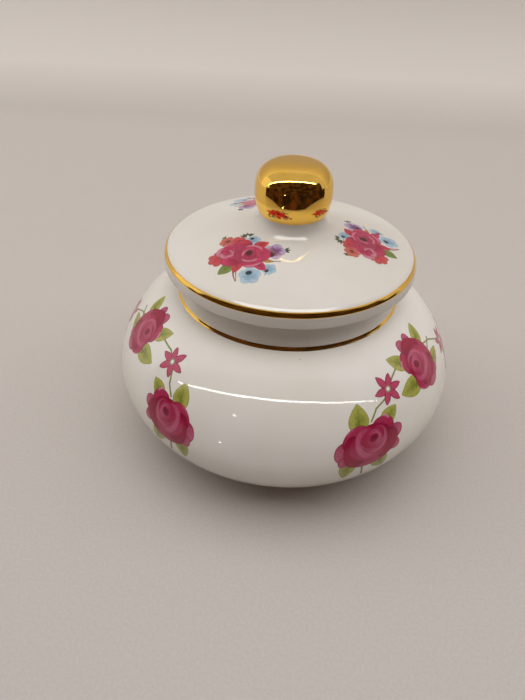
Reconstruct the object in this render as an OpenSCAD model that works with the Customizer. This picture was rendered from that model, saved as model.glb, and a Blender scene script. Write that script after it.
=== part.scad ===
// Covered powder jar in white glazed porcelain: a squat round jar with a recessed neck,
// a shallow domed lid with a locating flange, a gilded round knob, two painted gold lines
// and six fired-on flower transfers. The jar's axis is Z and its foot stands on z = 0.

/* [Jar] */
// Largest radius of the jar, at its belly
belly_r = 52; // [50:0.1:54]
// Height of the belly's widest circle above the table
belly_z = 21.4; // [20:0.1:23]
// Thickness of the porcelain wall
wall = 3; // [2.4:0.1:3.6]
// Outer radius of the foot ring
foot_r = 29; // [26:0.5:32]
// Height that the foot ring stands below the belly
foot_h = 1.6; // [1:0.1:2]

/* [Neck] */
// Outer radius of the neck at its gold line
neck_r = 32.7; // [32:0.1:33]
// Height of the neck's gold line
neck_line_z = 46.8; // [46:0.1:47.5]
// Height of the rim that the lid rests on
rim_z = 54.9; // [54:0.1:56]

/* [Lid] */
// Outer radius of the lid's lower edge
lid_r = 35.7; // [35:0.1:37]
// Height of the lid's edge, from its seat to the start of the dome
lid_edge_h = 4.85; // [4:0.05:6]
// Height of the lid's boss, where the knob sits
boss_z = 69; // [68:0.1:70]
// Depth of the flange that locates the lid in the neck
flange_h = 6; // [4:0.5:8]
// Gap all round between the flange and the neck
flange_gap = 0.7; // [0.4:0.1:1]

/* [Knob] */
// Largest radius of the round knob
knob_r = 10.4; // [9.5:0.1:12]
// Height of the knob's widest circle
knob_z = 73.9; // [73:0.1:75]
// Height of the knob's crown above its widest circle
knob_crown = 8.7; // [8:0.1:10]

/* [Decoration] */
// Thickness of the gold lines and of the gilding on the knob
gold_t = 0.1; // [0.05:0.01:0.2]
// Thickness of a fired-on flower transfer
transfer_t = 0.08; // [0.05:0.01:0.15]
// Direction of the bare space between the two front garlands, from straight ahead
garland_turn = -3; // [-10:1:10]
// Height of the lower roses of a garland
low_rose_z = 27.5; // [26:0.1:30]
// Distance of a lid bouquet's centre from the jar's axis
bouquet_r = 21; // [19:0.5:23]

/* [Hidden] */
$fn = 96;
porcelain = [0.93, 0.92, 0.9];
gold = [0.83, 0.62, 0.24];
rose_pink = [0.72, 0.13, 0.33];

// The underside is a quarter of a superellipse about a core circle. It meets the shoulder,
// one cubic curve, at the belly.
under_h = belly_z - foot_h;
under_core = 26.4;
under_power = 2.08;
shoulder_swell = 8.5;
shoulder_reach = [9.4, -1.55];

function lerp(a, b, t) = a + (b - a) * t;
function unit(v) = v / norm(v);
// A point at share t of the cubic curve that runs from a to d with handles b and c.
function bezier(a, b, c, d, t) =
    a * pow(1 - t, 3) + b * 3 * t * pow(1 - t, 2) + c * 3 * t * t * (1 - t) + d * pow(t, 3);
function curve(a, b, c, d, n) = [for (i = [0 : n]) bezier(a, b, c, d, i / n)];
// The superellipse radius, as a share, at a share u of its height.
function squared_round(u, power) = pow(max(0, 1 - pow(u, power)), 1 / power);

// An outline moved sideways by d: to the left of its direction of travel when d is positive.
function side(p, i) =
    let (a = p[max(0, i - 1)], b = p[min(len(p) - 1, i + 1)], along = unit(b - a))
    [-along[1], along[0]];
function moved(p, d) = [for (i = [0 : len(p) - 1]) p[i] + d * side(p, i)];
function part_of(p, first, last) = [for (i = [first : last]) p[i]];
function reversed(p) = [for (i = [len(p) - 1 : -1 : 0]) p[i]];

// Jar outline, from the foot up to the rim
under_steps = 14;
underside = [for (i = [0 : under_steps])
    let (u = cos(90 * i / under_steps))
    [under_core + (belly_r - under_core) * squared_round(u, under_power), belly_z - under_h * u]];
belly = [belly_r, belly_z];
flare = [neck_r + 0.3, neck_line_z - 1.05];
shoulder_steps = 24;
shoulder = curve(belly, belly + [0, shoulder_swell], flare + shoulder_reach, flare,
                 shoulder_steps);
neck_mid = [neck_r - 1, lerp(neck_line_z, rim_z, 0.45)];
neck_steps = 12;
neck = curve(flare, flare + [-0.75, 0.12], neck_mid - [-0.05, 3.85], neck_mid, neck_steps);
rim_steps = 5;
rim_edge = [neck_r - 0.7, rim_z - 0.8];
rim_round = curve(rim_edge, rim_edge + [0, 0.45], [rim_edge[0] - 0.35, rim_z],
                  [rim_edge[0] - 0.8, rim_z], rim_steps);
jar_outline = concat(underside, part_of(shoulder, 1, shoulder_steps),
                     part_of(neck, 1, neck_steps), rim_round);
neck_start = under_steps + shoulder_steps;

// Lid outline, from its lower edge over the dome to the boss
edge_low = [lid_r - 0.4, rim_z];
edge_foot = [lid_r, rim_z + 0.6];
dome_start = [lid_r - 2.1, rim_z + lid_edge_h];
dome_end = [13, boss_z - 4.06];
boss_r = 9.1;
corner = curve(edge_low, edge_low + [0.25, 0], edge_foot - [0, 0.3], edge_foot, 4);
edge = curve(edge_foot, edge_foot + [0.15, 2.6], dome_start + [1.6, -0.45], dome_start, 20);
dome = curve(dome_start, dome_start + [-5.87, 1.63], dome_end + [7.05, -1.39], dome_end, 16);
boss = curve(dome_end, dome_end + [-2.6, 0.5], [boss_r, boss_z - 2.2], [boss_r, boss_z], 8);
lid_outline = concat(corner, part_of(edge, 1, 20), part_of(dome, 1, 16), part_of(boss, 1, 8));

// Knob outline, from its flat bottom to its crown: a ball below, a squarer curve above
knob_base = knob_z - boss_z;
knob_power = 3;
knob_outline = concat(
    [for (i = [0 : 12])
        let (u = knob_base / knob_r * cos(90 * i / 12))
        [knob_r * squared_round(u, 2), knob_z - knob_r * u]],
    [for (i = [1 : 15])
        let (u = sin(90 * i / 16))
        [knob_r * squared_round(u, knob_power), knob_z + knob_crown * u]]);

// A thin ring that follows the stretch first..last of an outline, standing d proud of it.
module follow(outline, first, last, d) {
    skin = part_of(outline, first, last);
    rotate_extrude() polygon(concat(skin, reversed(part_of(moved(outline, -d), first, last))));
}

module jar_body() {
    hollow = moved(jar_outline, wall);
    tip = len(jar_outline) - rim_steps - 1;
    bore_r = hollow[tip][0];
    color(porcelain) rotate_extrude() polygon(concat(
        [[0, foot_h + 0.5], [foot_r - 4, foot_h + 0.5], [foot_r - 3.2, 0], [foot_r - 0.6, 0],
         [foot_r, 0.5], [foot_r + 0.2, underside[2][1]]],
        part_of(jar_outline, 3, len(jar_outline) - 1),
        [[bore_r + 0.6, rim_z], [bore_r, rim_z - 0.6]],
        reversed(part_of(hollow, 0, tip)),
        [[0, foot_h + wall]]));
}

module neck_gold_line() {
    color(gold) follow(jar_outline, neck_start + 2, neck_start + 7, gold_t);
}

module lid() {
    hollow = moved(lid_outline, wall);
    flange_out = neck_r - 1 - wall - flange_gap;
    flange_in = flange_out - 2.8;
    roof = [for (p = hollow) if (p[0] < flange_in - 1.5 && p[0] > boss_r + 3) p];
    color(porcelain) rotate_extrude() polygon(concat(
        [[flange_in + 0.6, rim_z - flange_h], [flange_out - 0.6, rim_z - flange_h],
         [flange_out, rim_z - flange_h + 0.6], [flange_out, rim_z]],
        lid_outline,
        [[0, boss_z], [0, roof[len(roof) - 1][1] + 0.3]],
        reversed(roof),
        [[flange_in, roof[0][1] - 1.5], [flange_in, rim_z - flange_h + 0.6]]));
}

module lid_gold_line() {
    color(gold) follow(lid_outline, len(corner) + 8, len(corner) + 15, gold_t);
}

module knob() {
    color(porcelain) rotate_extrude()
        polygon(concat([[0, boss_z]], knob_outline, [[0, knob_z + knob_crown]]));
}

// The gilding stops just short of the knob's flat bottom, so it stays clear of the lid.
module knob_gilding() {
    proud = moved(knob_outline, -gold_t);
    last = len(knob_outline) - 1;
    color(gold) rotate_extrude() polygon(concat(
        part_of(knob_outline, 1, last),
        [[0, knob_z + knob_crown], [0, knob_z + knob_crown + gold_t]],
        reversed(part_of(proud, 2, last))));
}

// Flower outlines, drawn flat
module leaf(long, wide) {
    r = (pow(long / 2, 2) + pow(wide / 2, 2)) / wide;
    translate([0, long / 2]) intersection() {
        translate([r - wide / 2, 0]) circle(r);
        translate([wide / 2 - r, 0]) circle(r);
    }
}

module star(r) {
    for (i = [0 : 5]) rotate(60 * i) leaf(r, r * 0.4);
    circle(r * 0.25);
}

module bloom(r) {
    circle(r);
    for (a = [35, 160, 200, 320]) rotate(a) translate([r * 0.72, 0]) circle(r * 0.42);
}

module sprig(turns, start, long) {
    for (a = turns) rotate(a) translate([0, start]) leaf(long, long * 0.55);
}

module stem(from, to) {
    hull() {
        translate(from) circle(stem_w / 2, $fn = 12);
        translate(to) circle(stem_w / 2, $fn = 12);
    }
}

// One garland: an arch with a rose at its crown, a star flower on each side of it and a
// rose at each foot. It is drawn flat, about the rose at its crown.
star_at = [15, 0.6];
low_rose_at = [24.4, -11];
stem_w = 0.6;
module garland() {
    bloom(5.4);
    sprig([45, 135, 225, 315], 4, 6);
    for (side = [0, 1]) mirror([side, 0]) {
        stem([0, 0], star_at);
        stem(star_at, low_rose_at);
        translate(star_at) star(3.6);
        translate(low_rose_at) {
            bloom(5.8);
            sprig([-35, 35, 150, 210], 4.4, 6);
        }
    }
}

module bouquet() {
    bloom(5);
    translate([-6, 0.5]) circle(3.2);
    translate([5.5, 1]) circle(2.8);
    translate([1, -5]) circle(2.8);
    translate([0, 5]) circle(2.4);
    rotate(130) translate([0, 5]) leaf(5, 2.6);
}

// A transfer on the belly: the outline is carried along a level line out through the wall.
module belly_transfer(turn) {
    color(rose_pink) intersection() {
        follow(jar_outline, 3, neck_start - 3, transfer_t);
        rotate(garland_turn + turn) translate([0, -15, low_rose_z - low_rose_at[1]])
            rotate([90, 0, 0]) linear_extrude(belly_r) garland();
    }
}

module left_rose_garland() { belly_transfer(-60); }
module right_rose_garland() { belly_transfer(60); }
module back_rose_garland() { belly_transfer(180); }

// A transfer on the lid: the outline is carried straight down onto the dome.
module lid_transfer(turn) {
    color(rose_pink) intersection() {
        follow(lid_outline, len(corner) + 20, len(corner) + 36, transfer_t);
        rotate(turn) translate([0, -bouquet_r, rim_z]) linear_extrude(20) bouquet();
    }
}

module left_lid_bouquet() { lid_transfer(-33); }
module right_lid_bouquet() { lid_transfer(80); }
module back_lid_bouquet() { lid_transfer(208); }

jar_body();
neck_gold_line();
left_rose_garland();
right_rose_garland();
back_rose_garland();
lid();
lid_gold_line();
knob();
knob_gilding();
left_lid_bouquet();
right_lid_bouquet();
back_lid_bouquet();
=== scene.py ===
"""The looks of a covered powder jar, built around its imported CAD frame.

White glazed porcelain, gold lustre on the knob and in two hand-painted lines, and six flower
transfers fired onto the glaze. Outlines and paintings are in millimetres, materials and the
studio in metres. The azimuth of a point is its angle from straight ahead (-Y), positive
towards +X.
"""
import math

import bpy
import numpy as np
from mathutils import Matrix, Vector


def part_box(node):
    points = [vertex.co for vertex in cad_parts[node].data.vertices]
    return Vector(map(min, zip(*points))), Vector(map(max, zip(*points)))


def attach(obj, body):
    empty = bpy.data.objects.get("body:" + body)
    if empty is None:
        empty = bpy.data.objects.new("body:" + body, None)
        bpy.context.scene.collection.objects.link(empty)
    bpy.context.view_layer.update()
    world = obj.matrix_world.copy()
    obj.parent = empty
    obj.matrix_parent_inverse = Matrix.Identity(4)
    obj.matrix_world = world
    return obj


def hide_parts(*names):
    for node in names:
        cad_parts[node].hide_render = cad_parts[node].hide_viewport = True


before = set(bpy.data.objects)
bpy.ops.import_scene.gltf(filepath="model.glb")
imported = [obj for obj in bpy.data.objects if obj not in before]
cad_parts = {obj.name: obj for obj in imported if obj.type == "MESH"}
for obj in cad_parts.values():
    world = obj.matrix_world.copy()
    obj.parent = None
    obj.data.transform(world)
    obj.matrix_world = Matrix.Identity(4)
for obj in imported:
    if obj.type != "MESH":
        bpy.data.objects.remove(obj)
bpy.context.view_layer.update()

MM = 0.001


def cad_top(node):
    """The highest corner of a CAD node, in millimetres."""
    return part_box(node)[1] / MM


# ---------------------------------------------------------------- sizes, as in the CAD model
BELLY_R = cad_top("jar_body").x
RIM_Z = cad_top("jar_body").z
LID_R = cad_top("lid").x
BOSS_Z = cad_top("lid").z
KNOB_R = cad_top("knob").x
KNOB_TOP = cad_top("knob").z
BELLY_Z = 21.4
WALL = 3.0
FOOT_R = 29.0
FOOT_H = 1.6
NECK_R = 32.7
WAIST_R = NECK_R - 1
RIM_R = NECK_R - 0.7
NECK_LINE_Z = 46.8
LID_EDGE_H = 4.85
FLANGE_H = 6.0
FLANGE_GAP = 0.7
BOSS_R = 9.1
KNOB_Z = 73.9
GILDING_T = 0.1
LINE_T = 0.06
FILM_T = 0.05
FLARE = np.array([NECK_R + 0.3, NECK_LINE_Z - 1.05])
BOSS_FOOT = np.array([13.0, BOSS_Z - 4.06])

# Steps along some of the outlines' curves, and the steps between which the gold lines lie.
SHOULDER_STEPS = 90
NECK_STEPS = 48
LIP_STEPS = 6
EDGE_STEPS = 50
NECK_LINE = (8, 25)
LID_LINE = (20, 37)

PAINT_LAYER = "paint"


# ---------------------------------------------------------------- outlines
def bezier(start, leave, arrive, end, steps):
    """Points of the cubic curve from start to end, with its two handles."""
    t = np.linspace(0, 1, steps + 1)[:, None]
    a, b, c, d = (np.array(p, float) for p in (start, leave, arrive, end))
    return a * (1 - t) ** 3 + 3 * b * t * (1 - t) ** 2 + 3 * c * t**2 * (1 - t) + d * t**3


def squared_round(u, power):
    """The radius of a superellipse, as a share, at a share u of its height."""
    return np.clip(1 - u**power, 0, 1) ** (1 / power)


def joined(*stretches):
    """One outline from stretches that each start where the last one ended."""
    return np.concatenate([stretches[0]] + [s[1:] for s in stretches[1:]])


def rounded(points, radius, steps=4):
    """The corners between the ends of a polyline, rounded off."""
    points = [np.array(p, float) for p in points]
    out = [points[0][None]]
    for before, corner, after in zip(points, points[1:], points[2:]):
        legs = []
        for end in (before, after):
            leg = end - corner
            length = np.linalg.norm(leg)
            legs.append(corner + leg / length * min(radius, length / 2))
        out.append(bezier(legs[0], corner, corner, legs[1], steps))
    out.append(points[-1][None])
    return np.concatenate(out)


class Outline:
    """A (radius, height) curve that knows its length and its outward direction."""

    def __init__(self, points):
        self.points = points
        steps = np.linalg.norm(np.diff(points, axis=0), axis=1)
        self.length = np.concatenate([[0], np.cumsum(steps)])
        along = np.gradient(points, axis=0)
        along /= np.linalg.norm(along, axis=1)[:, None]
        self.outward = np.stack([along[:, 1], -along[:, 0]], axis=1)

    def at(self, s, lift=0.0):
        """Radius and height at length s along the curve, standing lift proud of it."""
        r, z = (np.interp(s, self.length, self.points[:, k]) for k in (0, 1))
        out_r, out_z = (np.interp(s, self.length, self.outward[:, k]) for k in (0, 1))
        return r + lift * out_r, z + lift * out_z

    def moved(self, distance):
        return self.points + distance * self.outward


def underside():
    """From the foot ring out to the widest circle: a flat middle with a squarish round edge."""
    core, power, first = 26.4, 2.08, 3 / 14
    u = np.cos(np.linspace(first, 1, 70) * math.pi / 2)
    radius = core + (BELLY_R - core) * squared_round(u, power)
    return np.stack([radius, BELLY_Z - (BELLY_Z - FOOT_H) * u], axis=1)


def shoulder():
    belly = np.array([BELLY_R, BELLY_Z])
    return bezier(belly, belly + [0, 8.5], FLARE + [9.4, -1.55], FLARE, SHOULDER_STEPS)


def neck():
    middle = np.array([WAIST_R, NECK_LINE_Z + 0.45 * (RIM_Z - NECK_LINE_Z)])
    return bezier(FLARE, FLARE + [-0.75, 0.12], middle - [-0.05, 3.85], middle, NECK_STEPS)


def rim():
    edge = np.array([RIM_R, RIM_Z - 0.8])
    return bezier(edge, edge + [0, 0.45], [edge[0] - 0.35, RIM_Z], [edge[0] - 0.8, RIM_Z], 8)


def lid_top():
    """The lid's outside, from its lower edge over the dome to the boss."""
    low = np.array([LID_R - 0.4, RIM_Z])
    foot = np.array([LID_R, RIM_Z + 0.6])
    dome_start = np.array([LID_R - 2.1, RIM_Z + LID_EDGE_H])
    return joined(
        bezier(low, low + [0.25, 0], foot - [0, 0.3], foot, LIP_STEPS),
        bezier(foot, foot + [0.15, 2.6], dome_start + [1.6, -0.45], dome_start, EDGE_STEPS),
        bezier(dome_start, dome_start + [-5.87, 1.63], BOSS_FOOT + [7.05, -1.39], BOSS_FOOT, 60),
        bezier(BOSS_FOOT, BOSS_FOOT + [-2.6, 0.5], [BOSS_R, BOSS_Z - 2.2], [BOSS_R, BOSS_Z], 30),
    )


def knob_side():
    """The knob's outside, from its foot on the boss to its crown: a ball below, squarer above."""
    power = 3.0
    down = np.cos(np.linspace(0, math.pi / 2, 46)) * (KNOB_Z - BOSS_Z) / KNOB_R
    up = np.sin(np.linspace(0, math.pi / 2, 60))
    low = [KNOB_R * squared_round(down, 2), KNOB_Z - KNOB_R * down]
    high = [KNOB_R * squared_round(up, power), KNOB_Z + (KNOB_TOP - KNOB_Z) * up]
    return joined(np.stack(low, axis=1), np.stack(high, axis=1))


UNDERSIDE = underside()
JAR_SKIN = Outline(joined(UNDERSIDE, shoulder(), neck(), rim()))
BELLY_S = JAR_SKIN.length[len(UNDERSIDE) - 1]
LID_SKIN = Outline(lid_top())
KNOB_SKIN = Outline(knob_side())


# ---------------------------------------------------------------- meshes
def mesh_piece(name, points, faces, body, node, slot, material, crease=38):
    """Makes a smooth-shaded piece from points in millimetres. It stands for a CAD node."""
    mesh = bpy.data.meshes.new(name)
    mesh.from_pydata((np.asarray(points) * MM).tolist(), [], faces)
    mesh.validate()
    mesh.shade_smooth()
    mesh.set_sharp_from_angle(angle=math.radians(crease))
    mesh.materials.append(material)
    piece = bpy.data.objects.new(name, mesh)
    bpy.context.scene.collection.objects.link(piece)
    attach(piece, body)
    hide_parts(node)
    return piece


def ring_faces(rows, columns, closed_rows=False):
    """Quads between rows of a mesh that goes all the way round, one row after another."""
    i = np.arange(rows if closed_rows else rows - 1)[:, None]
    j = np.arange(columns)[None]
    up, on = (i + 1) % rows, (j + 1) % columns
    quads = [i * columns + j, i * columns + on, up * columns + on, up * columns + j]
    return np.stack(quads, axis=-1).reshape(-1, 4).tolist()


def spun(outline, columns=320):
    """Points and faces of a solid turned from an outline whose two ends lie on the axis."""
    turns = np.arange(columns) * 2 * math.pi / columns
    radius, height = outline[1:-1, 0:1], outline[1:-1, 1:2]
    across = [radius * np.cos(turns), radius * np.sin(turns), height + 0 * turns]
    points = np.stack(across, axis=-1).reshape(-1, 3)
    poles = [[0, 0, outline[0, 1]], [0, 0, outline[-1, 1]]]
    rows = len(outline) - 2
    faces = ring_faces(rows, columns)
    last = (rows - 1) * columns
    for j in range(columns):
        on = (j + 1) % columns
        faces.append((rows * columns, on, j))
        faces.append((rows * columns + 1, last + j, last + on))
    return np.concatenate([points, poles]), faces


def sway(turns, amount, seed):
    """A smooth unevenness that comes back to itself after one turn."""
    rng = np.random.default_rng(seed)
    waves = [math.sqrt(1 / k) * np.sin(k * turns + rng.uniform(0, 7)) for k in range(2, 15)]
    return amount * sum(waves) / 2


def painted_band(skin, first, steps, seed, rows=14, columns=360):
    """A thin closed ring of gold on a skin, with hand-painted edges.

    It lies between two steps of the curve that begins at the skin's point first.
    """
    start, end = (skin.length[first + step] for step in steps)
    wobble, sunk = 0.05, 0.04
    turns = np.arange(columns) * 2 * math.pi / columns
    share = np.linspace(0, 1, rows)[:, None]
    low = start + sway(turns, wobble, seed)
    high = end + sway(turns, wobble, seed + 1)
    s = low + (high - low) * share
    swell = LINE_T * (1 - (2 * share - 1) ** 8) * (1 + sway(turns, 0.15, seed + 2))
    sides = [skin.at(s, swell), skin.at(s[::-1], -sunk)]
    points = []
    for r, z in sides:
        points.append(np.stack([r * np.cos(turns), r * np.sin(turns), z], axis=-1))
    points = np.concatenate(points).reshape(-1, 3)
    return points, ring_faces(2 * rows, columns, closed_rows=True)


# ---------------------------------------------------------------- painting
def srgb(r, g, b):
    """A colour given as it looks on a screen, 0 to 255, made linear."""
    c = np.array([r, g, b]) / 255
    return np.where(c < 0.04045, c / 12.92, ((c + 0.055) / 1.055) ** 2.4)


def blend(a, b, share):
    share = np.asarray(share)[..., None]
    return a * (1 - share) + b * share


def ramp(low, high, x):
    """0 below low, 1 above high, and smooth between."""
    t = np.clip((x - low) / (high - low), 0, 1)
    return t * t * (3 - 2 * t)


def mottle(x, y, size, seed):
    """Smooth random values from -1 to 1 over the plane, in patches about size across."""
    lattice = np.random.default_rng(seed).uniform(-1, 1, (64, 64))
    u, v = x / size + 31.7, y / size + 17.3
    i, j = np.floor(u).astype(int), np.floor(v).astype(int)
    a, b = ramp(0, 1, u - i), ramp(0, 1, v - j)
    row = [lattice[i % 64, (j + k) % 64] * (1 - a) + lattice[(i + 1) % 64, (j + k) % 64] * a
           for k in (0, 1)]
    return row[0] * (1 - b) + row[1] * b


CRIMSON = srgb(158, 28, 64)
MAROON = srgb(134, 20, 50)
ROSE = srgb(174, 54, 88)
BLUSH = srgb(190, 92, 122)
PINK = srgb(214, 142, 164)
PLUM = srgb(98, 18, 48)
OLIVE = srgb(174, 170, 86)
LEAF_GREEN = srgb(110, 122, 34)
VEIN_GREEN = srgb(80, 96, 28)
STEM_GREEN = srgb(140, 146, 80)
STAR_PINK = srgb(190, 76, 106)
WHITE = srgb(236, 232, 222)
EYE_GREY = srgb(150, 146, 118)


class Picture:
    """A flat painting in millimetres. Its points hold a colour and how far outside it they are."""

    def __init__(self, x, y, ink=None):
        self.x, self.y = x, y
        self.ink = ink or {"outside": np.full(x.shape, 99.0), "colour": np.ones(x.shape + (3,))}

    def turned(self, at, turn=0.0, mirrored=False, wide=1.0):
        """The same painting, seen from a point, a direction and a width of its own."""
        c, s = math.cos(math.radians(turn)), math.sin(math.radians(turn))
        dx, dy = self.x - at[0], self.y - at[1]
        x, y = dx * c + dy * s, dy * c - dx * s
        return Picture((-x if mirrored else x) / wide, y, self.ink)

    def lay(self, outside, colour, soft=0.14):
        """Lays a shape on top. Bare ground takes the colour of the nearest shape."""
        cover = np.clip(0.5 - outside / soft, 0, 1)
        bare = (self.ink["outside"] > 0) & (outside < self.ink["outside"])
        cover = np.where(bare, 1, cover)
        self.ink["colour"] = blend(self.ink["colour"], colour, cover)
        self.ink["outside"] = np.minimum(self.ink["outside"], outside)

    def tint(self, colour, share):
        """Tints what is there already."""
        self.ink["colour"] = blend(self.ink["colour"], colour, share)


def petal(pic, at, size, turn, base, tip, rim, rim_w=0.35):
    """A rounded petal: size is its half length along turn and its half width."""
    p = pic.turned(at, turn)
    u, v = p.x / size[0], p.y / size[1]
    ripple = 1 + 0.035 * np.sin(3 * np.arctan2(v, u) + at[0] * 5)
    outside = (np.hypot(u, v) / ripple - 1) * min(size)
    veins = 0.5 + 0.5 * np.sin(p.y * 9 + 1.5 * np.sin(p.x * 1.3))
    shade = blend(base, tip, ramp(-0.9, 1.0, u + 0.25 * mottle(p.x, p.y, 1.1, 5)))
    shade = blend(shade, base, 0.22 * veins * ramp(0.9, -0.5, u))
    shade = blend(shade, rim, 0.55 * ramp(-rim_w, -0.25 * rim_w, outside))
    p.lay(outside, shade)


def leaf(pic, base, tip, width, pale=OLIVE, deep=LEAF_GREEN, vein=VEIN_GREEN):
    """A pointed leaf, widest below its middle, with a centre vein and side veins."""
    along = np.subtract(tip, base)
    length = np.hypot(*along)
    p = pic.turned(base, math.degrees(math.atan2(along[1], along[0])))
    t = np.clip(p.x / length, 0, 1)
    half = width / 2 * np.sin(math.pi * t**0.8) ** 0.8
    outside = np.maximum(np.abs(p.y) - half, np.maximum(-p.x, p.x - length))
    core = ramp(0.75, 0.05, np.abs(p.y) / (half + 0.1) + 0.3 * mottle(p.x, p.y, 0.9, 8))
    shade = blend(pale, deep, core * ramp(1.05, 0.1, t))
    side = np.cos((p.x - 1.1 * np.abs(p.y)) * 2 * math.pi / 1.1)
    shade = blend(shade, vein, 0.2 * ramp(0.75, 1.0, side) * ramp(0.0, 0.2, half))
    shade = blend(shade, vein, 0.6 * ramp(0.16, 0.04, np.abs(p.y)) * ramp(0.95, 0.6, t))
    shade = blend(shade, deep, 0.5 * ramp(-0.2, -0.02, outside))
    p.lay(outside, shade)


def stroke(pic, points, width, colour, taper=0.0):
    """A thin line through points, such as a stem."""
    points = np.array(points, float)
    outside = np.full(pic.x.shape, 99.0)
    for k in range(len(points) - 1):
        a, b = points[k], points[k + 1]
        ab = b - a
        t = np.clip(((pic.x - a[0]) * ab[0] + (pic.y - a[1]) * ab[1]) / (ab @ ab), 0, 1)
        reach = np.hypot(pic.x - a[0] - t * ab[0], pic.y - a[1] - t * ab[1])
        share = (k + t) / (len(points) - 1)
        outside = np.minimum(outside, reach - width / 2 * (1 - taper * share))
    pic.lay(outside, blend(colour, colour * 0.75, ramp(-width / 3, 0, outside)), soft=0.1)


def star_flower(pic):
    """A small flower of six pointed petals round a grey-green eye with a white dot."""
    for k, long in enumerate((4.7, 4.2, 4.9, 4.6, 4.3, 4.8)):
        p = pic.turned((0, 0), 61 * k + 2)
        t = np.clip(p.x / long, 0, 1)
        half = 0.88 * np.sin(math.pi * t**1.1) ** 0.75 + 0.3 * (1 - t)
        outside = np.maximum(np.abs(p.y) - half * (t < 1), p.x - long)
        outside = np.maximum(outside, -p.x)
        shade = blend(STAR_PINK, BLUSH, 0.45 * ramp(0.5, 0.1, np.abs(p.y)) * ramp(0.3, 0.7, t))
        shade = blend(shade, CRIMSON, 0.55 * ramp(0.12, 0.03, np.abs(p.y)))
        shade = blend(shade, PLUM, 0.65 * ramp(-0.36, -0.08, outside))
        p.lay(outside, shade, soft=0.1)
    reach = np.hypot(pic.x, pic.y)
    pic.lay(reach - 1.0, blend(EYE_GREY, CRIMSON, 0.6 * ramp(0.75, 1.0, reach)))
    pic.lay(reach - 0.52, WHITE)


def garland_rose(pic):
    """A full-blown rose about its own eye, with the lobes of its outer petals."""
    for at, size, turn in (
        ((6.3, -0.5), (2.3, 2.1), 10), ((5.6, -4.2), (2.1, 1.8), -30),
        ((-7.6, -2.3), (2.8, 3.0), 190), ((-7.6, -5.0), (1.9, 1.7), 215),
    ):
        petal(pic, at, size, turn, CRIMSON, BLUSH, PLUM)
    for at, size, turn, base, tip in (
        ((-1.6, -4.6), (3.9, 6.0), -92, MAROON, ROSE),
        ((3.1, 2.4), (2.6, 3.2), 65, CRIMSON, ROSE),
        ((-4.6, 1.3), (2.8, 4.0), 118, CRIMSON, ROSE),
        ((3.8, -2.9), (2.8, 4.3), -28, MAROON, CRIMSON),
        ((-5.1, -2.8), (3.0, 4.8), 188, MAROON, CRIMSON),
        ((0.0, 1.1), (2.8, 4.4), 88, MAROON, CRIMSON),
    ):
        petal(pic, at, size, turn, base, tip, PLUM, rim_w=0.3)
    rolled_edge(pic, (2.6, 2.7), 2.6, (20, 80), PINK)
    rolled_edge(pic, (-4.4, 0.6), 3.4, (95, 150), BLUSH)
    rose_cup(pic)


def rolled_edge(pic, at, radius, span, colour):
    """A lighter arc where a petal's edge rolls over."""
    p = pic.turned(at)
    angle = np.degrees(np.arctan2(p.y, p.x))
    middle, half = (span[0] + span[1]) / 2, (span[1] - span[0]) / 2
    off = np.abs((angle - middle + 180) % 360 - 180)
    ring = np.abs(np.hypot(p.x, p.y) - radius)
    p.tint(colour, 0.8 * ramp(0.45, 0.1, ring) * ramp(half, half * 0.5, off))


def rose_cup(pic):
    """The lighter heart of a rose: whorls of petals, closing on a dark eye."""
    for at, size, turn, base, tip in (
        ((-1.6, -1.9), (4.4, 5.2), 250, CRIMSON, ROSE),
        ((-1.4, -1.1), (3.8, 4.6), 200, ROSE, BLUSH),
        ((0.5, -0.8), (3.2, 4.0), 330, ROSE, BLUSH),
        ((-0.3, 0.1), (2.7, 3.4), 110, CRIMSON, ROSE),
        ((0.0, -0.3), (2.3, 2.9), 20, ROSE, BLUSH),
    ):
        petal(pic, at, size, turn, base, tip, CRIMSON, rim_w=0.35)
    p = pic.turned((0, 0), 32)
    reach = np.hypot(p.x / 1.25, p.y)
    for radius in (1.7, 2.4, 3.1):
        p.tint(MAROON, 0.35 * ramp(0.32, 0.08, np.abs(reach - radius)))
    p.tint(MAROON, ramp(1.3, 0.85, reach))
    p.tint(PLUM, 0.55 * ramp(0.7, 0.2, reach))


def rose_spray(pic, tips):
    """A rose with its four leaves and a stub of stem, about the rose's eye."""
    stroke(pic, [(-3, -8), (-2.6, -10.5), (-2.3, -12.2)], 0.5, STEM_GREEN)
    for base, tip, width in zip(
        ((-3.7, 2.0), (2.4, 2.8), (-6.4, -4.0), (0.6, -5.5)), tips, (5.6, 4.3, 4.2, 4.6)
    ):
        leaf(pic, base, tip, width)
    garland_rose(pic)


FOOT_TIPS = ((-3.5, 10.1), (8.0, 6.2), (-7.2, -12.0), (3.4, -11.6))
CROWN_TIPS = ((-0.8, 10.8), (9.0, 7.8), (-6.6, -12.0), (5.0, -12.4))


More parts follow.
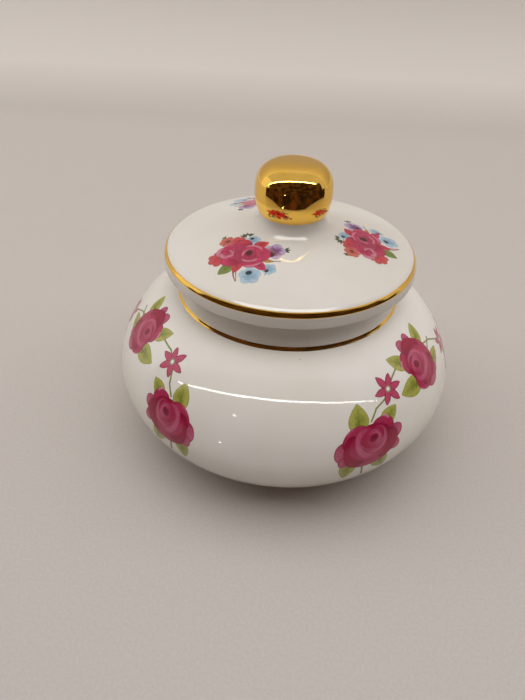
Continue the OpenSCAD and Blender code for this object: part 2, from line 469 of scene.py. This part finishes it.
def garland(pic, foot_at, star_at, star_turn, crown_at, foot_wide=1.0):
    """An arch of three roses with a star flower between each two, about the arch's middle."""
    (fx, fy), (sx, sy), (cx, cy) = foot_at, star_at, crown_at
    for points, width in (
        ([(fx - 0.2, fy + 4.6), (fx + 1.8, fy + 7.4), (sx - 1.6, sy - 1.9), (sx, sy)], 0.45),
        ([(sx, sy), (sx + 2.7, sy + 2.2), (cx - 7.5, cy + 3.4), (cx - 3, cy + 2)], 0.48),
        ([(6.0, 21.5), (11.0, 20.0), (15.0, 17.3), (19.2, 13.8)], 0.45),
        ([(19.2, 13.8), (22.0, 11.0), (24.4, 7.0)], 0.45),
    ):
        stroke(pic, points, width, STEM_GREEN)
    rose_spray(pic.turned(foot_at, wide=foot_wide), FOOT_TIPS)
    rose_spray(pic.turned((26.0, 4.6), mirrored=True), FOOT_TIPS)
    rose_spray(pic.turned(crown_at, 109), CROWN_TIPS)
    star_flower(pic.turned(star_at, star_turn))
    star_flower(pic.turned((19.2, 13.8), 25))


def right_garland(pic):
    garland(pic, (-22.0, 7.4), (-15.1, 18.3), 0, (-1.3, 19.2))


def left_garland(pic):
    """The left garland was put on a little higher and narrower than the others."""
    garland(pic, (-21.6, 7.9), (-17.3, 20.4), 9, (-0.6, 20.2), foot_wide=0.9)


# ---------------------------------------------------------------- the lid's bouquet
SCARLET = srgb(202, 60, 78)
RASPBERRY = srgb(200, 58, 98)
SHELL_PINK = srgb(216, 138, 160)
CORAL = srgb(196, 88, 84)
APRICOT = srgb(202, 118, 98)
RUST = srgb(140, 60, 44)
SKY = srgb(178, 202, 216)
SKY_DEEP = srgb(142, 172, 192)
NAVY = srgb(46, 56, 70)
LILAC = srgb(200, 176, 206)
VIOLET = srgb(96, 52, 98)
GRASS = srgb(124, 142, 74)
PINE = srgb(84, 100, 74)
OCHRE = srgb(198, 150, 78)
DARK_EYE = srgb(74, 18, 22)


def posy(pic, at, radius, petals, inner, outer, eye, eye_r, eye_at=(0, 0), turn=0.0):
    """A small open flower of equal round petals. Its eye may lie off its middle."""
    p = pic.turned(at, turn)
    reach, angle = np.hypot(p.x, p.y), np.arctan2(p.y, p.x)
    lobes = np.abs(np.cos(angle * petals / 2))
    outside = reach - radius * (0.72 + 0.28 * np.sqrt(lobes))
    lines = 0.5 + 0.5 * np.sin(angle * petals * 4 + reach)
    shade = blend(inner, outer, ramp(0.15, 0.85, reach / radius + 0.2 * mottle(p.x, p.y, 0.7, 3)))
    shade = blend(shade, inner, 0.3 * lines * ramp(0.9, 0.4, reach / radius))
    shade = blend(shade, inner, 0.6 * ramp(0.3, 0.05, lobes))
    p.lay(outside, shade, soft=0.2)
    e = p.turned(eye_at)
    far = np.hypot(e.x / 1.15, e.y)
    e.lay(far - eye_r, blend(eye * 0.7, eye, ramp(0.1, eye_r, far)))


def bouquet_rose(pic, at, radius, turn, colours, edge):
    """A rose of overlapping whorls that tighten on its heart."""
    p = pic.turned(at, turn)
    deep, mid, light = colours
    for k in range(14):
        share = 1 - k / 14
        angle = 137.5 * k
        away = 0.62 * radius * share
        centre = (away * math.cos(math.radians(angle)), away * math.sin(math.radians(angle)))
        size = radius * (0.2 + 0.38 * share)
        tip = light if k % 3 == 1 else mid
        petal(p, centre, (size * 0.85, size), angle, deep, tip, edge, rim_w=0.22)


def sprig(pic, at, turn, long, colour):
    """Three narrow leaves on a thread of stem."""
    p = pic.turned(at, turn)
    stroke(p, [(-long * 0.4, 0), (0, 0)], 0.16, colour)
    for side in (-38, 0, 36):
        q = p.turned((0, 0), side)
        leaf(q, (0, 0), (long, 0), long * 0.3, pale=colour, deep=colour * 0.7, vein=colour * 0.5)


def bouquet(pic):
    """A gathered bouquet seen from above, about the eye of its main rose."""
    sprig(pic, (-1.6, 7.0), 118, 1.9, PINE)
    sprig(pic, (-0.4, 7.2), 82, 1.5, PINE)
    sprig(pic, (9.0, 0.9), 8, 1.7, PINE)
    sprig(pic, (-7.0, 7.4), 140, 1.2, PINE)
    stroke(pic, [(-3.6, -5.5), (-3.2, -8.0), (-2.5, -10.0)], 0.42, RUST, taper=0.6)
    stroke(pic, [(-2.7, -5.5), (-2.6, -7.8), (-2.3, -9.9)], 0.3, CORAL, taper=0.6)
    stroke(pic, [(4.5, -3.0), (6.5, -3.2), (8.3, -3.3)], 0.24, PINE, taper=0.5)
    stroke(pic, [(4.6, -6.0), (4.8, -7.4), (4.6, -8.2)], 0.28, VIOLET, taper=0.6)
    posy(pic, (0.9, -8.1), 2.9, 5, SKY_DEEP, SKY, NAVY, 0.72, (0.0, 0.9), 20)
    posy(pic, (5.6, -6.0), 1.9, 5, SKY_DEEP, SKY, NAVY, 0.5, (-0.9, 0.1), 50)
    posy(pic, (0.7, 5.1), 2.0, 5, SKY_DEEP, SKY, NAVY, 0.52, (-0.3, 0.9), 10)
    posy(pic, (6.5, 0.4), 2.9, 5, VIOLET * 1.6, LILAC, VIOLET * 0.7, 0.85, (-1.3, 0.2), 72)
    leaf(pic, (3.4, -2.9), (6.6, -3.4), 1.2, pale=OCHRE, deep=OCHRE * 0.8, vein=RUST)
    leaf(pic, (-3.8, -3.9), (-7.2, -7.3), 3.2, pale=GRASS, deep=LEAF_GREEN, vein=VEIN_GREEN)
    leaf(pic, (-4.6, -4.0), (-6.6, -4.7), 1.8, pale=GRASS, deep=VEIN_GREEN, vein=VEIN_GREEN)
    posy(pic, (-6.2, 5.5), 2.3, 6, CORAL, APRICOT, RUST, 0.6, (0.1, 0.1), 15)
    posy(pic, (-3.4, 5.3), 2.1, 5, SCARLET, CORAL, RUST, 0.4, (0.3, -0.2), 40)
    posy(pic, (-7.7, -1.4), 2.9, 7, SCARLET, CORAL, RUST, 0.5, (0.2, 0.4), 5)
    stamens = pic.turned((-7.5, -1.0))
    stamens.tint(OCHRE, 0.8 * ramp(0.3, 0.1, np.hypot(stamens.x, stamens.y)))
    leaf(pic, (0.8, 2.2), (4.9, 3.9), 3.0, pale=SCARLET, deep=CRIMSON, vein=PLUM)
    leaf(pic, (-2.2, -2.4), (-3.2, -7.0), 2.8, pale=SCARLET, deep=CRIMSON, vein=RUST)
    leaf(pic, (1.4, -3.0), (4.8, -6.6), 2.6, pale=RASPBERRY, deep=CRIMSON, vein=PLUM)
    petal(pic, (-4.6, -2.4), (2.4, 2.2), 200, CRIMSON, RASPBERRY, MAROON)
    petal(pic, (-2.0, 3.4), (2.2, 2.6), 110, CRIMSON, SCARLET, MAROON)
    bouquet_rose(pic, (-5.2, 1.0), 3.4, 40, (CRIMSON, RASPBERRY, SHELL_PINK), MAROON)
    rolled_edge(pic, (-5.2, 1.0), 3.0, (95, 185), SHELL_PINK)
    bouquet_rose(pic, (0.3, -0.8), 4.7, 0, (CRIMSON, RASPBERRY, ROSE), MAROON)
    for radius, span in ((2.5, (210, 330)), (4.3, (250, 320)), (3.4, (20, 120)), (1.9, (60, 200))):
        rolled_edge(pic, (0.3, -0.6), radius, span, SHELL_PINK)
    eye = pic.turned((0, 0), 75)
    reach = np.hypot(eye.x / 1.3, eye.y)
    eye.tint(CRIMSON, 0.7 * ramp(1.5, 1.0, reach))
    eye.tint(DARK_EYE, ramp(0.95, 0.7, reach))


# ---------------------------------------------------------------- paint on the porcelain
# How far from the jar's axis a garland's painting is true to size along its width.
CHART_R = 46.0


def on_belly(azimuth, mirrored=False):
    """Carries a flat painting onto the belly: x goes round the jar, y up from its widest circle."""
    side = -1 if mirrored else 1

    def place(x, y, lift):
        turn = math.radians(azimuth) + side * x / CHART_R
        r, z = JAR_SKIN.at(BELLY_S + y, lift)
        return np.stack([r * np.sin(turn), -r * np.cos(turn), z], axis=-1)
    return place


def on_lid(azimuth, distance, turn):
    """Carries a flat painting straight down onto the lid."""
    a, t = math.radians(azimuth), math.radians(turn)
    middle = (distance * math.sin(a), -distance * math.cos(a))
    radii = LID_SKIN.points[::-1, 0]
    lengths = LID_SKIN.length[::-1]

    def place(x, y, lift):
        px = middle[0] + x * math.cos(t) - y * math.sin(t)
        py = middle[1] + x * math.sin(t) + y * math.cos(t)
        far = np.hypot(px, py)
        r, z = LID_SKIN.at(np.interp(far, radii, lengths), lift)
        return np.stack([px * r / far, py * r / far, z], axis=-1)
    return place


def painted_grid(paint, window, cell):
    """A painting on a square grid, with the points near its edge moved onto the edge.

    It gives the painting, and how far outside it each point was before.
    """
    grid = [np.arange(lo, hi + cell, cell) for lo, hi in window]
    x, y = np.meshgrid(*grid, indexing="ij")
    sketch = Picture(x, y)
    paint(sketch)
    outside = sketch.ink["outside"]
    slope = np.gradient(outside, cell)
    steep = np.maximum(slope[0] ** 2 + slope[1] ** 2, 0.25)
    step = np.clip(outside / steep, -cell / 2, cell / 2)
    snap = np.where(np.abs(outside) < 0.7 * cell, step, 0)
    picture = Picture(x - snap * slope[0], y - snap * slope[1])
    paint(picture)
    return picture, outside


def painted_cells(outside):
    """The corners of the grid's cells that lie inside the painting."""
    around = outside[:-1, :-1] + outside[1:, :-1] + outside[:-1, 1:] + outside[1:, 1:]
    index = np.arange(outside.size).reshape(outside.shape)
    corners = [index[:-1, :-1], index[1:, :-1], index[1:, 1:], index[:-1, 1:]]
    return np.stack([corner[around < 0] for corner in corners], axis=-1)


def open_sides(quads):
    """The sides that only one quad has, in a fixed order."""
    sides = np.concatenate([quads[:, [k, (k + 1) % 4]] for k in range(4)])
    known = set(map(tuple, sides.tolist()))
    border = np.array([side for side in known if side[::-1] not in known])
    return border[np.lexsort(border.T)]


def painted_film(paint, place, window, cell):
    """A film of paint on a skin: its points, faces and colours. Its edge is turned down."""
    picture, outside = painted_grid(paint, window, cell)
    used, quads = np.unique(painted_cells(outside), return_inverse=True)
    quads = quads.reshape(-1, 4)
    x, y = picture.x.ravel()[used], picture.y.ravel()[used]
    colours = picture.ink["colour"].reshape(-1, 3)[used]
    border = open_sides(quads)
    rim, spot = np.unique(border, return_inverse=True)
    spot = spot.reshape(-1, 2) + len(used)
    points = np.concatenate([place(x, y, FILM_T), place(x[rim], y[rim], -FILM_T)])
    colours = np.concatenate([colours, colours[rim]])
    skirt = np.stack([border[:, 1], border[:, 0], spot[:, 0], spot[:, 1]], axis=-1)
    return points, np.concatenate([quads, skirt]).tolist(), colours


def film_piece(name, paint, place, window, cell, mirrored, body, node, slot, material):
    """A transfer as a piece, with its colours on its points. A mirrored one has its faces flipped."""
    points, faces, colours = painted_film(paint, place, window, cell)
    if mirrored:
        faces = [face[::-1] for face in faces]
    piece = mesh_piece(name, points, faces, body, node, slot, material, crease=50)
    layer = piece.data.color_attributes.new(PAINT_LAYER, "FLOAT_COLOR", "POINT")
    shades = np.concatenate([colours, np.ones((len(colours), 1))], axis=1)
    layer.data.foreach_set("color", shades.astype(np.float32).ravel())
    return piece


# ---------------------------------------------------------------- materials
# A Mix node's two colour inputs, by number, because its inputs share their names.
COLOUR_A, COLOUR_B = 6, 7


class Shader:
    """A material and its Principled shader, with short ways to add and join nodes."""

    def __init__(self, name):
        self.material = bpy.data.materials.new(name)
        self.material.use_nodes = True
        self.tree = self.material.node_tree
        self.main = self.tree.nodes["Principled BSDF"]
        self.place = self.node("TexCoord").outputs["Object"]

    def node(self, kind, inputs=None, **settings):
        made = self.tree.nodes.new("ShaderNode" + kind)
        for key, value in settings.items():
            setattr(made, key, value)
        for key, value in (inputs or {}).items():
            self.put(made.inputs[key], value)
        return made

    def put(self, socket, value):
        if isinstance(value, bpy.types.NodeSocket):
            self.tree.links.new(value, socket)
        else:
            socket.default_value = value

    def noise(self, scale, detail=2.0, roughness=0.5):
        """Noise over the piece; scale is in patches per metre."""
        inputs = {"Vector": self.place, "Scale": scale, "Detail": detail, "Roughness": roughness}
        return self.node("TexNoise", inputs).outputs["Fac"]

    def remap(self, value, from_low, from_high, to_low, to_high):
        inputs = {"Value": value, "From Min": from_low, "From Max": from_high,
                  "To Min": to_low, "To Max": to_high}
        return self.node("MapRange", inputs).outputs["Result"]

    def mix(self, share, a, b, how="MIX"):
        made = self.node("Mix", data_type="RGBA", blend_type=how)
        for socket, value in ((0, share), (COLOUR_A, a), (COLOUR_B, b)):
            self.put(made.inputs[socket], value)
        return made.outputs[2]

    def times(self, a, b):
        made = self.node("Math", operation="MULTIPLY")
        self.put(made.inputs[0], a)
        self.put(made.inputs[1], b)
        return made.outputs[0]

    def bump(self, height, depth, under=None):
        """A bump from a height map from 0 to 1, whose full depth is in metres."""
        made = self.node("Bump", {"Height": height, "Distance": depth, "Strength": 1.0})
        if under is not None:
            self.put(made.inputs["Normal"], under)
        return made.outputs["Normal"]


def rgba(colour):
    return (*[float(c) for c in colour], 1.0)


def specks(s, body):
    """A few small brown specks under the glaze."""
    cells = s.node("TexVoronoi", {"Vector": s.place, "Scale": 210.0})
    chance = s.node("SeparateColor", {"Color": cells.outputs["Color"]}).outputs[0]
    rare = s.remap(chance, 0.93, 0.94, 0, 1)
    dot = s.remap(cells.outputs["Distance"], 0.03, 0.055, 0.55, 0)
    return s.mix(s.times(rare, dot), body, rgba(srgb(158, 140, 118)))


def porcelain(name, bare_below, bare_above=-1.0):
    """Clear-glazed white porcelain. Between two heights, in metres, it is bare and matt."""
    s = Shader(name)
    fade_up, fade_down = 0.0003, 0.0001
    white, cream = srgb(233, 230, 223), srgb(227, 222, 211)
    glazed = s.mix(s.remap(s.noise(38, 3), 0.35, 0.7, 0, 1), rgba(white), rgba(cream))
    glazed = specks(s, glazed)
    height = s.node("SeparateXYZ", {"Vector": s.place}).outputs["Z"]
    bare = s.remap(height, bare_below, bare_below + fade_up, 1, 0)
    if bare_above > 0:
        under = s.remap(height, bare_above - fade_down, bare_above, 0, 1)
        bare = s.times(bare, under)
    grit = s.noise(2600, 3)
    clay = s.mix(grit, rgba(srgb(214, 207, 194)), rgba(srgb(188, 180, 166)))
    s.put(s.main.inputs["Base Color"], s.mix(bare, glazed, clay))
    rough = s.node("Mix", data_type="FLOAT")
    s.put(rough.inputs[0], bare)
    s.put(rough.inputs[2], s.remap(s.noise(160, 2), 0.3, 0.7, 0.035, 0.075))
    s.put(rough.inputs[3], s.remap(grit, 0.3, 0.7, 0.55, 0.8))
    s.put(s.main.inputs["Roughness"], rough.outputs[0])
    waves = s.bump(s.noise(240, 1), 0.000006)
    s.put(s.main.inputs["Normal"], s.bump(s.times(grit, bare), 0.00004, under=waves))
    s.main.inputs["IOR"].default_value = 1.52
    s.main.inputs["Specular IOR Level"].default_value = 0.5
    return s.material


def gold(name, smooth, rough, streaks):
    """Fired gold lustre: thin, bright, and a little cloudy where it was brushed on."""
    s = Shader(name)
    rich, pale = (0.94, 0.55, 0.09), (1.0, 0.66, 0.15)
    s.put(s.main.inputs["Base Color"], s.mix(s.noise(260, 4, 0.6), rgba(rich), rgba(pale)))
    s.put(s.main.inputs["Roughness"], s.remap(s.noise(420, 3), 0.3, 0.75, smooth, rough))
    pits = s.bump(s.noise(2400, 2), 0.0000015)
    s.put(s.main.inputs["Normal"], s.bump(s.noise(streaks, 2), 0.000006, under=pits))
    s.main.inputs["Metallic"].default_value = 1.0
    return s.material


def transfer_enamel(name):
    """Coloured enamel, fired on: the painting's colours, with the fine grain of its printing."""
    s = Shader(name)
    paint = s.node("Attribute", attribute_name=PAINT_LAYER).outputs["Color"]
    grain = s.remap(s.noise(5200, 2), 0.3, 0.7, 0.86, 1.1)
    cloud = s.remap(s.noise(900, 3), 0.3, 0.7, 0.93, 1.06)
    tone = s.node("CombineColor", {k: s.times(grain, cloud) for k in (0, 1, 2)})
    s.put(s.main.inputs["Base Color"], s.mix(1.0, paint, tone.outputs[0], how="MULTIPLY"))
    s.put(s.main.inputs["Roughness"], s.remap(s.noise(1500, 2), 0.3, 0.7, 0.1, 0.2))
    s.put(s.main.inputs["Normal"], s.bump(s.noise(3600, 2), 0.000008))
    s.main.inputs["IOR"].default_value = 1.5
    return s.material


def tabletop():
    """The sweep: a pale worktop that turns into a whiter backdrop."""
    s = Shader("tabletop")
    fleck = s.remap(s.noise(1400, 3), 0.3, 0.7, 0, 1)
    table = s.mix(fleck, rgba(srgb(203, 197, 191)), rgba(srgb(211, 205, 199)))
    height = s.node("SeparateXYZ", {"Vector": s.place}).outputs["Z"]
    wall = s.remap(height, 0.004, 0.03, 0, 1)
    s.put(s.main.inputs["Base Color"], s.mix(wall, table, rgba(srgb(236, 230, 222))))
    s.put(s.main.inputs["Roughness"], s.remap(s.noise(600, 2), 0.3, 0.7, 0.42, 0.55))
    s.put(s.main.inputs["Normal"], s.bump(s.noise(900, 3), 0.00003))
    return s.material


# ---------------------------------------------------------------- pieces
def jar_porcelain():
    """The jar: foot ring, outside, rim, and the inside down to the middle of its floor."""
    bore_r, recess = RIM_R - WALL, FOOT_H + 0.5
    foot = rounded([(0, recess), (FOOT_R - 4, recess), (FOOT_R - 3.2, 0), (FOOT_R - 0.6, 0),
                    (FOOT_R, 0.5), (FOOT_R + 0.2, FOOT_H + 0.45), tuple(UNDERSIDE[0])], 0.35)
    above_rim = len(rim()) + 1
    inner = JAR_SKIN.moved(-WALL)[:-above_rim][::-1]
    mouth = [(bore_r + 0.6, RIM_Z), (bore_r, RIM_Z - 0.6)]
    return np.concatenate([foot, JAR_SKIN.points[1:], mouth, inner, [(0, FOOT_H + WALL)]])


def lid_porcelain():
    """The lid: flange, seat, outside up to the boss, and the roof inside."""
    flange_out = WAIST_R - WALL - FLANGE_GAP
    flange_in = flange_out - 2.8
    tip = RIM_Z - FLANGE_H
    roof = LID_SKIN.moved(-WALL)
    roof = roof[(roof[:, 0] < flange_in - 1.5) & (roof[:, 0] > BOSS_R + 3)]
    roof_top = (0, roof[-1, 1] + 0.3)
    flange = rounded([(flange_in, roof[0, 1] - 1.5), (flange_in, tip), (flange_out, tip),
                      (flange_out, RIM_Z), tuple(LID_SKIN.points[0])], 0.6)
    inside = np.concatenate([[roof_top], roof[::-1], flange])
    return np.concatenate([inside, LID_SKIN.points[1:], [(0, BOSS_Z)]])


def knob_porcelain():
    return np.concatenate([[(0, BOSS_Z)], KNOB_SKIN.points[:-1], [(0, KNOB_TOP)]])


def knob_gilding():
    """The gilding: a skin over all of the knob but the very foot of it."""
    bare, bevel = 4, 2
    inner = KNOB_SKIN.points[bare:-1]
    outer = KNOB_SKIN.moved(GILDING_T)[bare + bevel:-1]
    top = KNOB_TOP + GILDING_T
    return np.concatenate([[(0, KNOB_TOP)], inner[::-1], outer, [(0, top)]])


def build_solids(line_gold):
    """The jar, the lid, the knob and its gilding, and the two gold lines."""
    seat, hair = RIM_Z * MM, 0.00005
    jar_white = porcelain("jar_porcelain", bare_below=0.0002)
    lid_white = porcelain("lid_porcelain", bare_below=seat + hair, bare_above=seat - hair)
    knob_white = porcelain("knob_porcelain", bare_below=-1.0)
    knob_gold = gold("knob_gold", 0.03, 0.09, 120)
    for name, outline, body, node, slot, material in (
        ("jar_shell", jar_porcelain(), "jar", "jar_body", "porcelain", jar_white),
        ("lid_shell", lid_porcelain(), "cover", "lid", "porcelain", lid_white),
        ("knob_core", knob_porcelain(), "cover", "knob", "porcelain", knob_white),
        ("knob_gilded_skin", knob_gilding(), "cover", "knob_gilding", "gold", knob_gold),
    ):
        mesh_piece(name, *spun(outline), body, node, slot, material)

    flare_point = len(UNDERSIDE) + SHOULDER_STEPS - 1
    neck_band = painted_band(JAR_SKIN, flare_point, NECK_LINE, seed=11)
    lid_band = painted_band(LID_SKIN, LIP_STEPS, LID_LINE, seed=21)
    mesh_piece("neck_painted_line", *neck_band, "jar", "neck_gold_line", "gold", line_gold)
    mesh_piece("lid_painted_line", *lid_band, "cover", "lid_gold_line", "gold", line_gold)


def build_garlands(enamel):
    window, cell = ((-35, 38), (-10, 30)), 0.17
    for side, paint, azimuth, mirrored in (
        ("left", left_garland, -63, True),
        ("right", right_garland, 57, False),
        ("back", right_garland, 177, False),
    ):
        film_piece(f"{side}_garland_paint", paint, on_belly(azimuth, mirrored), window, cell,
                   mirrored, "jar", f"{side}_rose_garland", "garland_transfer", enamel)


def build_bouquets(enamel):
    window, cell = ((-12, 12), (-11.5, 10.5)), 0.12
    for side, azimuth, distance, turn in (
        ("left", -33.3, 18.8, 0),
        ("right", 80, 20.2, 107),
        ("back", 207.8, 20.4, 228),
    ):
        film_piece(f"{side}_bouquet_paint", bouquet, on_lid(azimuth, distance, turn), window, cell,
                   False, "cover", f"{side}_lid_bouquet", "bouquet_transfer", enamel)


def build_object():
    build_solids(gold("line_gold", 0.08, 0.18, 700))
    enamel = transfer_enamel("transfer_enamel")
    build_garlands(enamel)
    build_bouquets(enamel)


# ---------------------------------------------------------------- studio
def build_stage():
    """A pale sweep: a flat table that curves up into a backdrop far behind."""
    half_width, front, back, bend, top = 1.5, -1.0, 0.3, 0.14, 1.3
    arc = np.linspace(0, math.pi / 2, 16)
    curve = [(back + bend * math.sin(a), bend - bend * math.cos(a)) for a in arc]
    outline = [(front, 0.0), *curve, (back + bend, top)]
    points = [(side * half_width, y, z) for side in (-1, 1) for y, z in outline]
    count = len(outline)
    faces = [(k, k + count, k + count + 1, k + 1) for k in range(count - 1)]
    mesh = bpy.data.meshes.new("sweep")
    mesh.from_pydata(points, [], faces)
    mesh.shade_smooth()
    mesh.materials.append(tabletop())
    sweep = bpy.data.objects.new("sweep", mesh)
    bpy.context.scene.collection.objects.link(sweep)


def build_flag():
    """A low dark screen in front of the jar, unseen by the camera, for the gold to mirror.

    It also shades the front of the jar a little.
    """
    sideways, ahead, height = 0.26, 0.155, 0.09
    turns = np.radians(np.linspace(-80, 100, 25))
    points = [(sideways * math.sin(a), -ahead * math.cos(a), z) for z in (0.0, height) for a in turns]
    count = len(turns)
    mesh = bpy.data.meshes.new("flag")
    mesh.from_pydata(points, [], [(k, k + 1, k + count + 1, k + count) for k in range(count - 1)])
    mesh.shade_smooth()
    cloth = Shader("dim_room")
    shadow, warm = (0.012, 0.006, 0.004, 1), (0.16, 0.055, 0.03, 1)
    patch = cloth.remap(cloth.noise(22, 3, 0.6), 0.42, 0.66, 0, 1)
    cloth.put(cloth.main.inputs["Base Color"], cloth.mix(patch, shadow, warm))
    cloth.main.inputs["Roughness"].default_value = 0.9
    mesh.materials.append(cloth.material)
    flag = bpy.data.objects.new("flag", mesh)
    flag.visible_camera = False
    bpy.context.scene.collection.objects.link(flag)


def soft_light(name, place, aim, size, power, colour=(1.0, 0.985, 0.985)):
    light = bpy.data.lights.new(name, "AREA")
    light.shape = "RECTANGLE"
    light.size, light.size_y = size
    light.energy = power
    light.color = colour
    lamp = bpy.data.objects.new(name, light)
    lamp.location = place
    lamp.rotation_euler = (Vector(aim) - Vector(place)).to_track_quat("-Z", "Y").to_euler()
    lamp.visible_camera = False
    bpy.context.scene.collection.objects.link(lamp)
    return lamp


def strip_light(name, start, end, width, power):
    """A long thin light between two points, a little warmer than the others, facing the jar."""
    colour = (1.0, 0.98, 0.95)
    start, end, jar = Vector(start), Vector(end), Vector((0, 0, 0.04))
    middle = (start + end) / 2
    along = (end - start).normalized()
    facing = (middle - jar).normalized()
    facing = (facing - along * facing.dot(along)).normalized()
    lamp = soft_light(name, middle, jar, ((end - start).length, width), power, colour)
    across = facing.cross(along)
    lamp.rotation_euler = Matrix((along, across, facing)).transposed().to_euler()
    return lamp


def lamp_power(radiance, width, height):
    """The power in watts that gives a flat lamp this radiance."""
    return radiance * math.pi * width * height


def shine_only_on(lamp, pieces):
    receivers = bpy.data.collections.new(lamp.name + "_receivers")
    for piece in pieces:
        receivers.objects.link(bpy.data.objects[piece])
    lamp.light_linking.receiver_collection = receivers


JAR_PIECES = ["jar_shell", "left_garland_paint", "right_garland_paint", "back_garland_paint"]
COVER_PIECES = ["lid_shell", "knob_core", "left_bouquet_paint", "right_bouquet_paint",
                "back_bouquet_paint"]


def build_tent():
    """Large soft panels overhead and at the sides. Each is dimmer in the gold and the glaze."""
    glow = 1.5
    for name, place, aim, size, share, gleam in (
        ("ceiling", (0, 0.06, 0.9), (0, 0.06, 0), (2.8, 0.96), 1.0, 0.52),
        ("left_wall", (-1.4, 0.1, 0.45), (0, 0.1, 0.45), (0.9, 0.88), 0.9, 0.85),
        ("right_wall", (1.4, 0.25, 0.45), (0, 0.25, 0.45), (0.6, 0.88), 0.6, 0.5),
    ):
        lamp = soft_light(name, place, aim, size, lamp_power(glow * share, *size))
        lamp.visible_glossy = False
        nearer = Vector(place) + 0.01 * (Vector(aim) - Vector(place)).normalized()
        lamp = soft_light(name + "_gleam", nearer, aim, size, lamp_power(gleam, *size))
        lamp.visible_diffuse = False


def build_fills():
    """Soft light from the front, one for the jar and one for the lid."""
    for name, place, size, radiance, pieces in (
        ("jar_fill", (0.1, -0.35, 0.75), (0.9, 0.25), 3.0, JAR_PIECES),
        ("lid_fill", (0.0, -0.4, 0.25), (0.5, 0.2), 0.8, COVER_PIECES),
    ):
        fill = soft_light(name, place, (0, 0, 0.04), size, lamp_power(radiance, *size))
        fill.visible_glossy = False
        shine_only_on(fill, pieces)


def build_gleams():
    """Long strips and small lamps that the knob, the belly and the lid's edge mirror."""
    for name, ends, width, radiance, pieces in (
        ("crown_strip", ((-2.6, -0.426, 0.6), (0.8, -0.23, 0.6)), 0.03, 20, ["knob_gilded_skin"]),
        ("front_strip", ((-1.25, -0.208, 0.207), (1.895, -0.711, 0.57)), 0.011, 22, JAR_PIECES),
        ("edge_strip", ((-0.35, -0.05, 0.85), (0.35, -0.05, 0.85)), 0.4, 6.5, ["lid_shell"]),
    ):
        strip = strip_light(name, *ends, width, lamp_power(radiance, width, math.dist(*ends)))
        strip.visible_diffuse = False
        shine_only_on(strip, pieces)

    size, radiance, aim = 0.004, 14, (-0.01, -0.046, 0.033)
    for name, place in (
        ("low_lamp", (-0.073, -0.141, 0.0075)),
        ("high_lamp", (-0.060, -0.139, 0.0716)),
    ):
        lamp = soft_light(name, place, aim, (size, size), lamp_power(radiance, size, size))
        shine_only_on(lamp, JAR_PIECES + ["knob_gilded_skin"])


def build_world():
    """A dim brown room for the glaze and gold to mirror, behind a plain pale backdrop."""
    world = bpy.data.worlds.new("studio")
    bpy.context.scene.world = world
    world.use_nodes = True
    nodes, links = world.node_tree.nodes, world.node_tree.links
    patches = nodes.new("ShaderNodeTexNoise")
    patches.inputs["Scale"].default_value = 5.0
    browns = nodes.new("ShaderNodeValToRGB")
    for stop, place, colour in zip(browns.color_ramp.elements, (0.42, 0.62),
                                   ((0.022, 0.011, 0.007, 1), (0.09, 0.05, 0.03, 1))):
        stop.position = place
        stop.color = colour
    backdrop = nodes.new("ShaderNodeMix")
    backdrop.data_type = "RGBA"
    backdrop.inputs[COLOUR_B].default_value = (0.50, 0.46, 0.43, 1)
    seen = nodes.new("ShaderNodeLightPath").outputs["Is Camera Ray"]
    links.new(patches.outputs["Fac"], browns.inputs["Fac"])
    links.new(seen, backdrop.inputs[0])
    links.new(browns.outputs["Color"], backdrop.inputs[COLOUR_A])
    links.new(backdrop.outputs[2], nodes["Background"].inputs["Color"])


def build_camera():
    """Near the jar and above it, turned, tipped and rolled a little off the line to the lid."""
    focus, distance, elevation = Vector((0, 0, 0.059)), 0.14917, math.radians(27.27)
    yaw, pitch, roll = (math.radians(a) for a in (2.3, -11.96, -3.56))
    back = Vector((0, -math.cos(elevation), math.sin(elevation)))
    ahead, right = -back, Vector((1, 0, 0))
    up = right.cross(ahead)
    ahead, right = (Matrix.Rotation(yaw, 3, up) @ v for v in (ahead, right))
    ahead, up = (Matrix.Rotation(pitch, 3, right) @ v for v in (ahead, up))
    right, up = (Matrix.Rotation(roll, 3, ahead) @ v for v in (right, up))
    camera = bpy.data.objects.new("camera", bpy.data.cameras.new("camera"))
    camera.data.lens = 26.23
    camera.data.clip_start = 0.005
    camera.location = focus + back * distance
    camera.rotation_euler = Matrix((right, up, -ahead)).transposed().to_euler()
    bpy.context.scene.collection.objects.link(camera)
    bpy.context.scene.camera = camera


bpy.context.scene.view_settings.view_transform = "Standard"
build_camera()
build_object()
build_stage()
build_flag()
build_tent()
build_fills()
build_gleams()
build_world()
